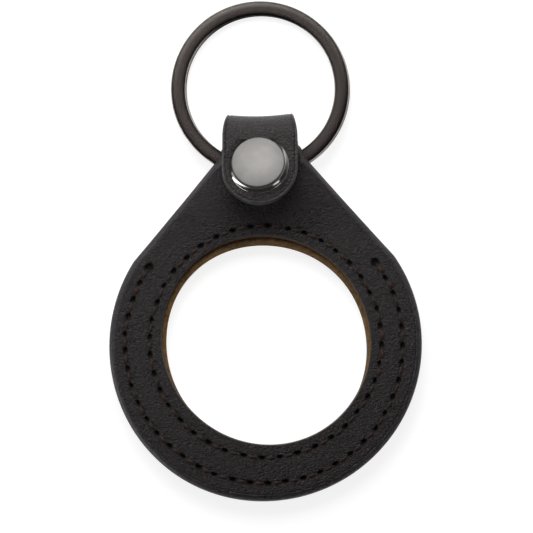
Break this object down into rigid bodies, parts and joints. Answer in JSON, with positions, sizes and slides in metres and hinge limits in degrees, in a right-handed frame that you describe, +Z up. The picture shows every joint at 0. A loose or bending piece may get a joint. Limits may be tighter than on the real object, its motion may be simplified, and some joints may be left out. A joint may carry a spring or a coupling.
{
  "type": "medallion holder keychain",
  "caption": "Teardrop leather medallion holder with a round window and stitched edges, closed by a snap strap that folds over a flat split key ring.",
  "frame": {"origin": "on the table, under the middle of the whole length and width", "axes": "+Y from the pocket towards the key ring, +Z up out of the front face, X across"},
  "size_m": [0.0524, 0.0849, 0.0129],
  "materials": {
    "black_leather": "fine grain black leather with burnished edges",
    "tan_leather": "raw tan leather ply",
    "thread": "waxed dark brown thread",
    "snap_metal": "satin gunmetal plating with a bright rim",
    "ring_metal": "dark satin gunmetal plating"
  },
  "bodies": {
    "holder": {"back_panel": "black_leather", "front_panel": "black_leather", "back_lining": "tan_leather", "front_lining": "tan_leather", "window_seam_back": "thread", "window_seam_front": "thread", "edge_seam_back": "thread", "edge_seam_front": "thread", "strap_fold": "black_leather", "snap_stud": "snap_metal", "snap_eyelet": "snap_metal"},
    "flap": {"strap_flap": "black_leather", "snap_cap": "snap_metal", "snap_socket": "snap_metal", "snap_spring": "snap_metal"},
    "ring": {"key_ring": "ring_metal"}
  },
  "joints": [
    {"name": "flap_hinge", "type": "hinge", "parent": "holder", "child": "flap", "pos_m": [0, 0.02171, 0.005], "axis": [-1, 0, 0], "range_deg": [0, 110], "deforming": ["strap_fold", "snap_spring"]},
    {"name": "ring_lift", "type": "hinge", "parent": "holder", "child": "ring", "pos_m": [0, 0.01621, 0.00675], "axis": [1, 0, 0], "range_deg": [0, 95]}
  ]
}
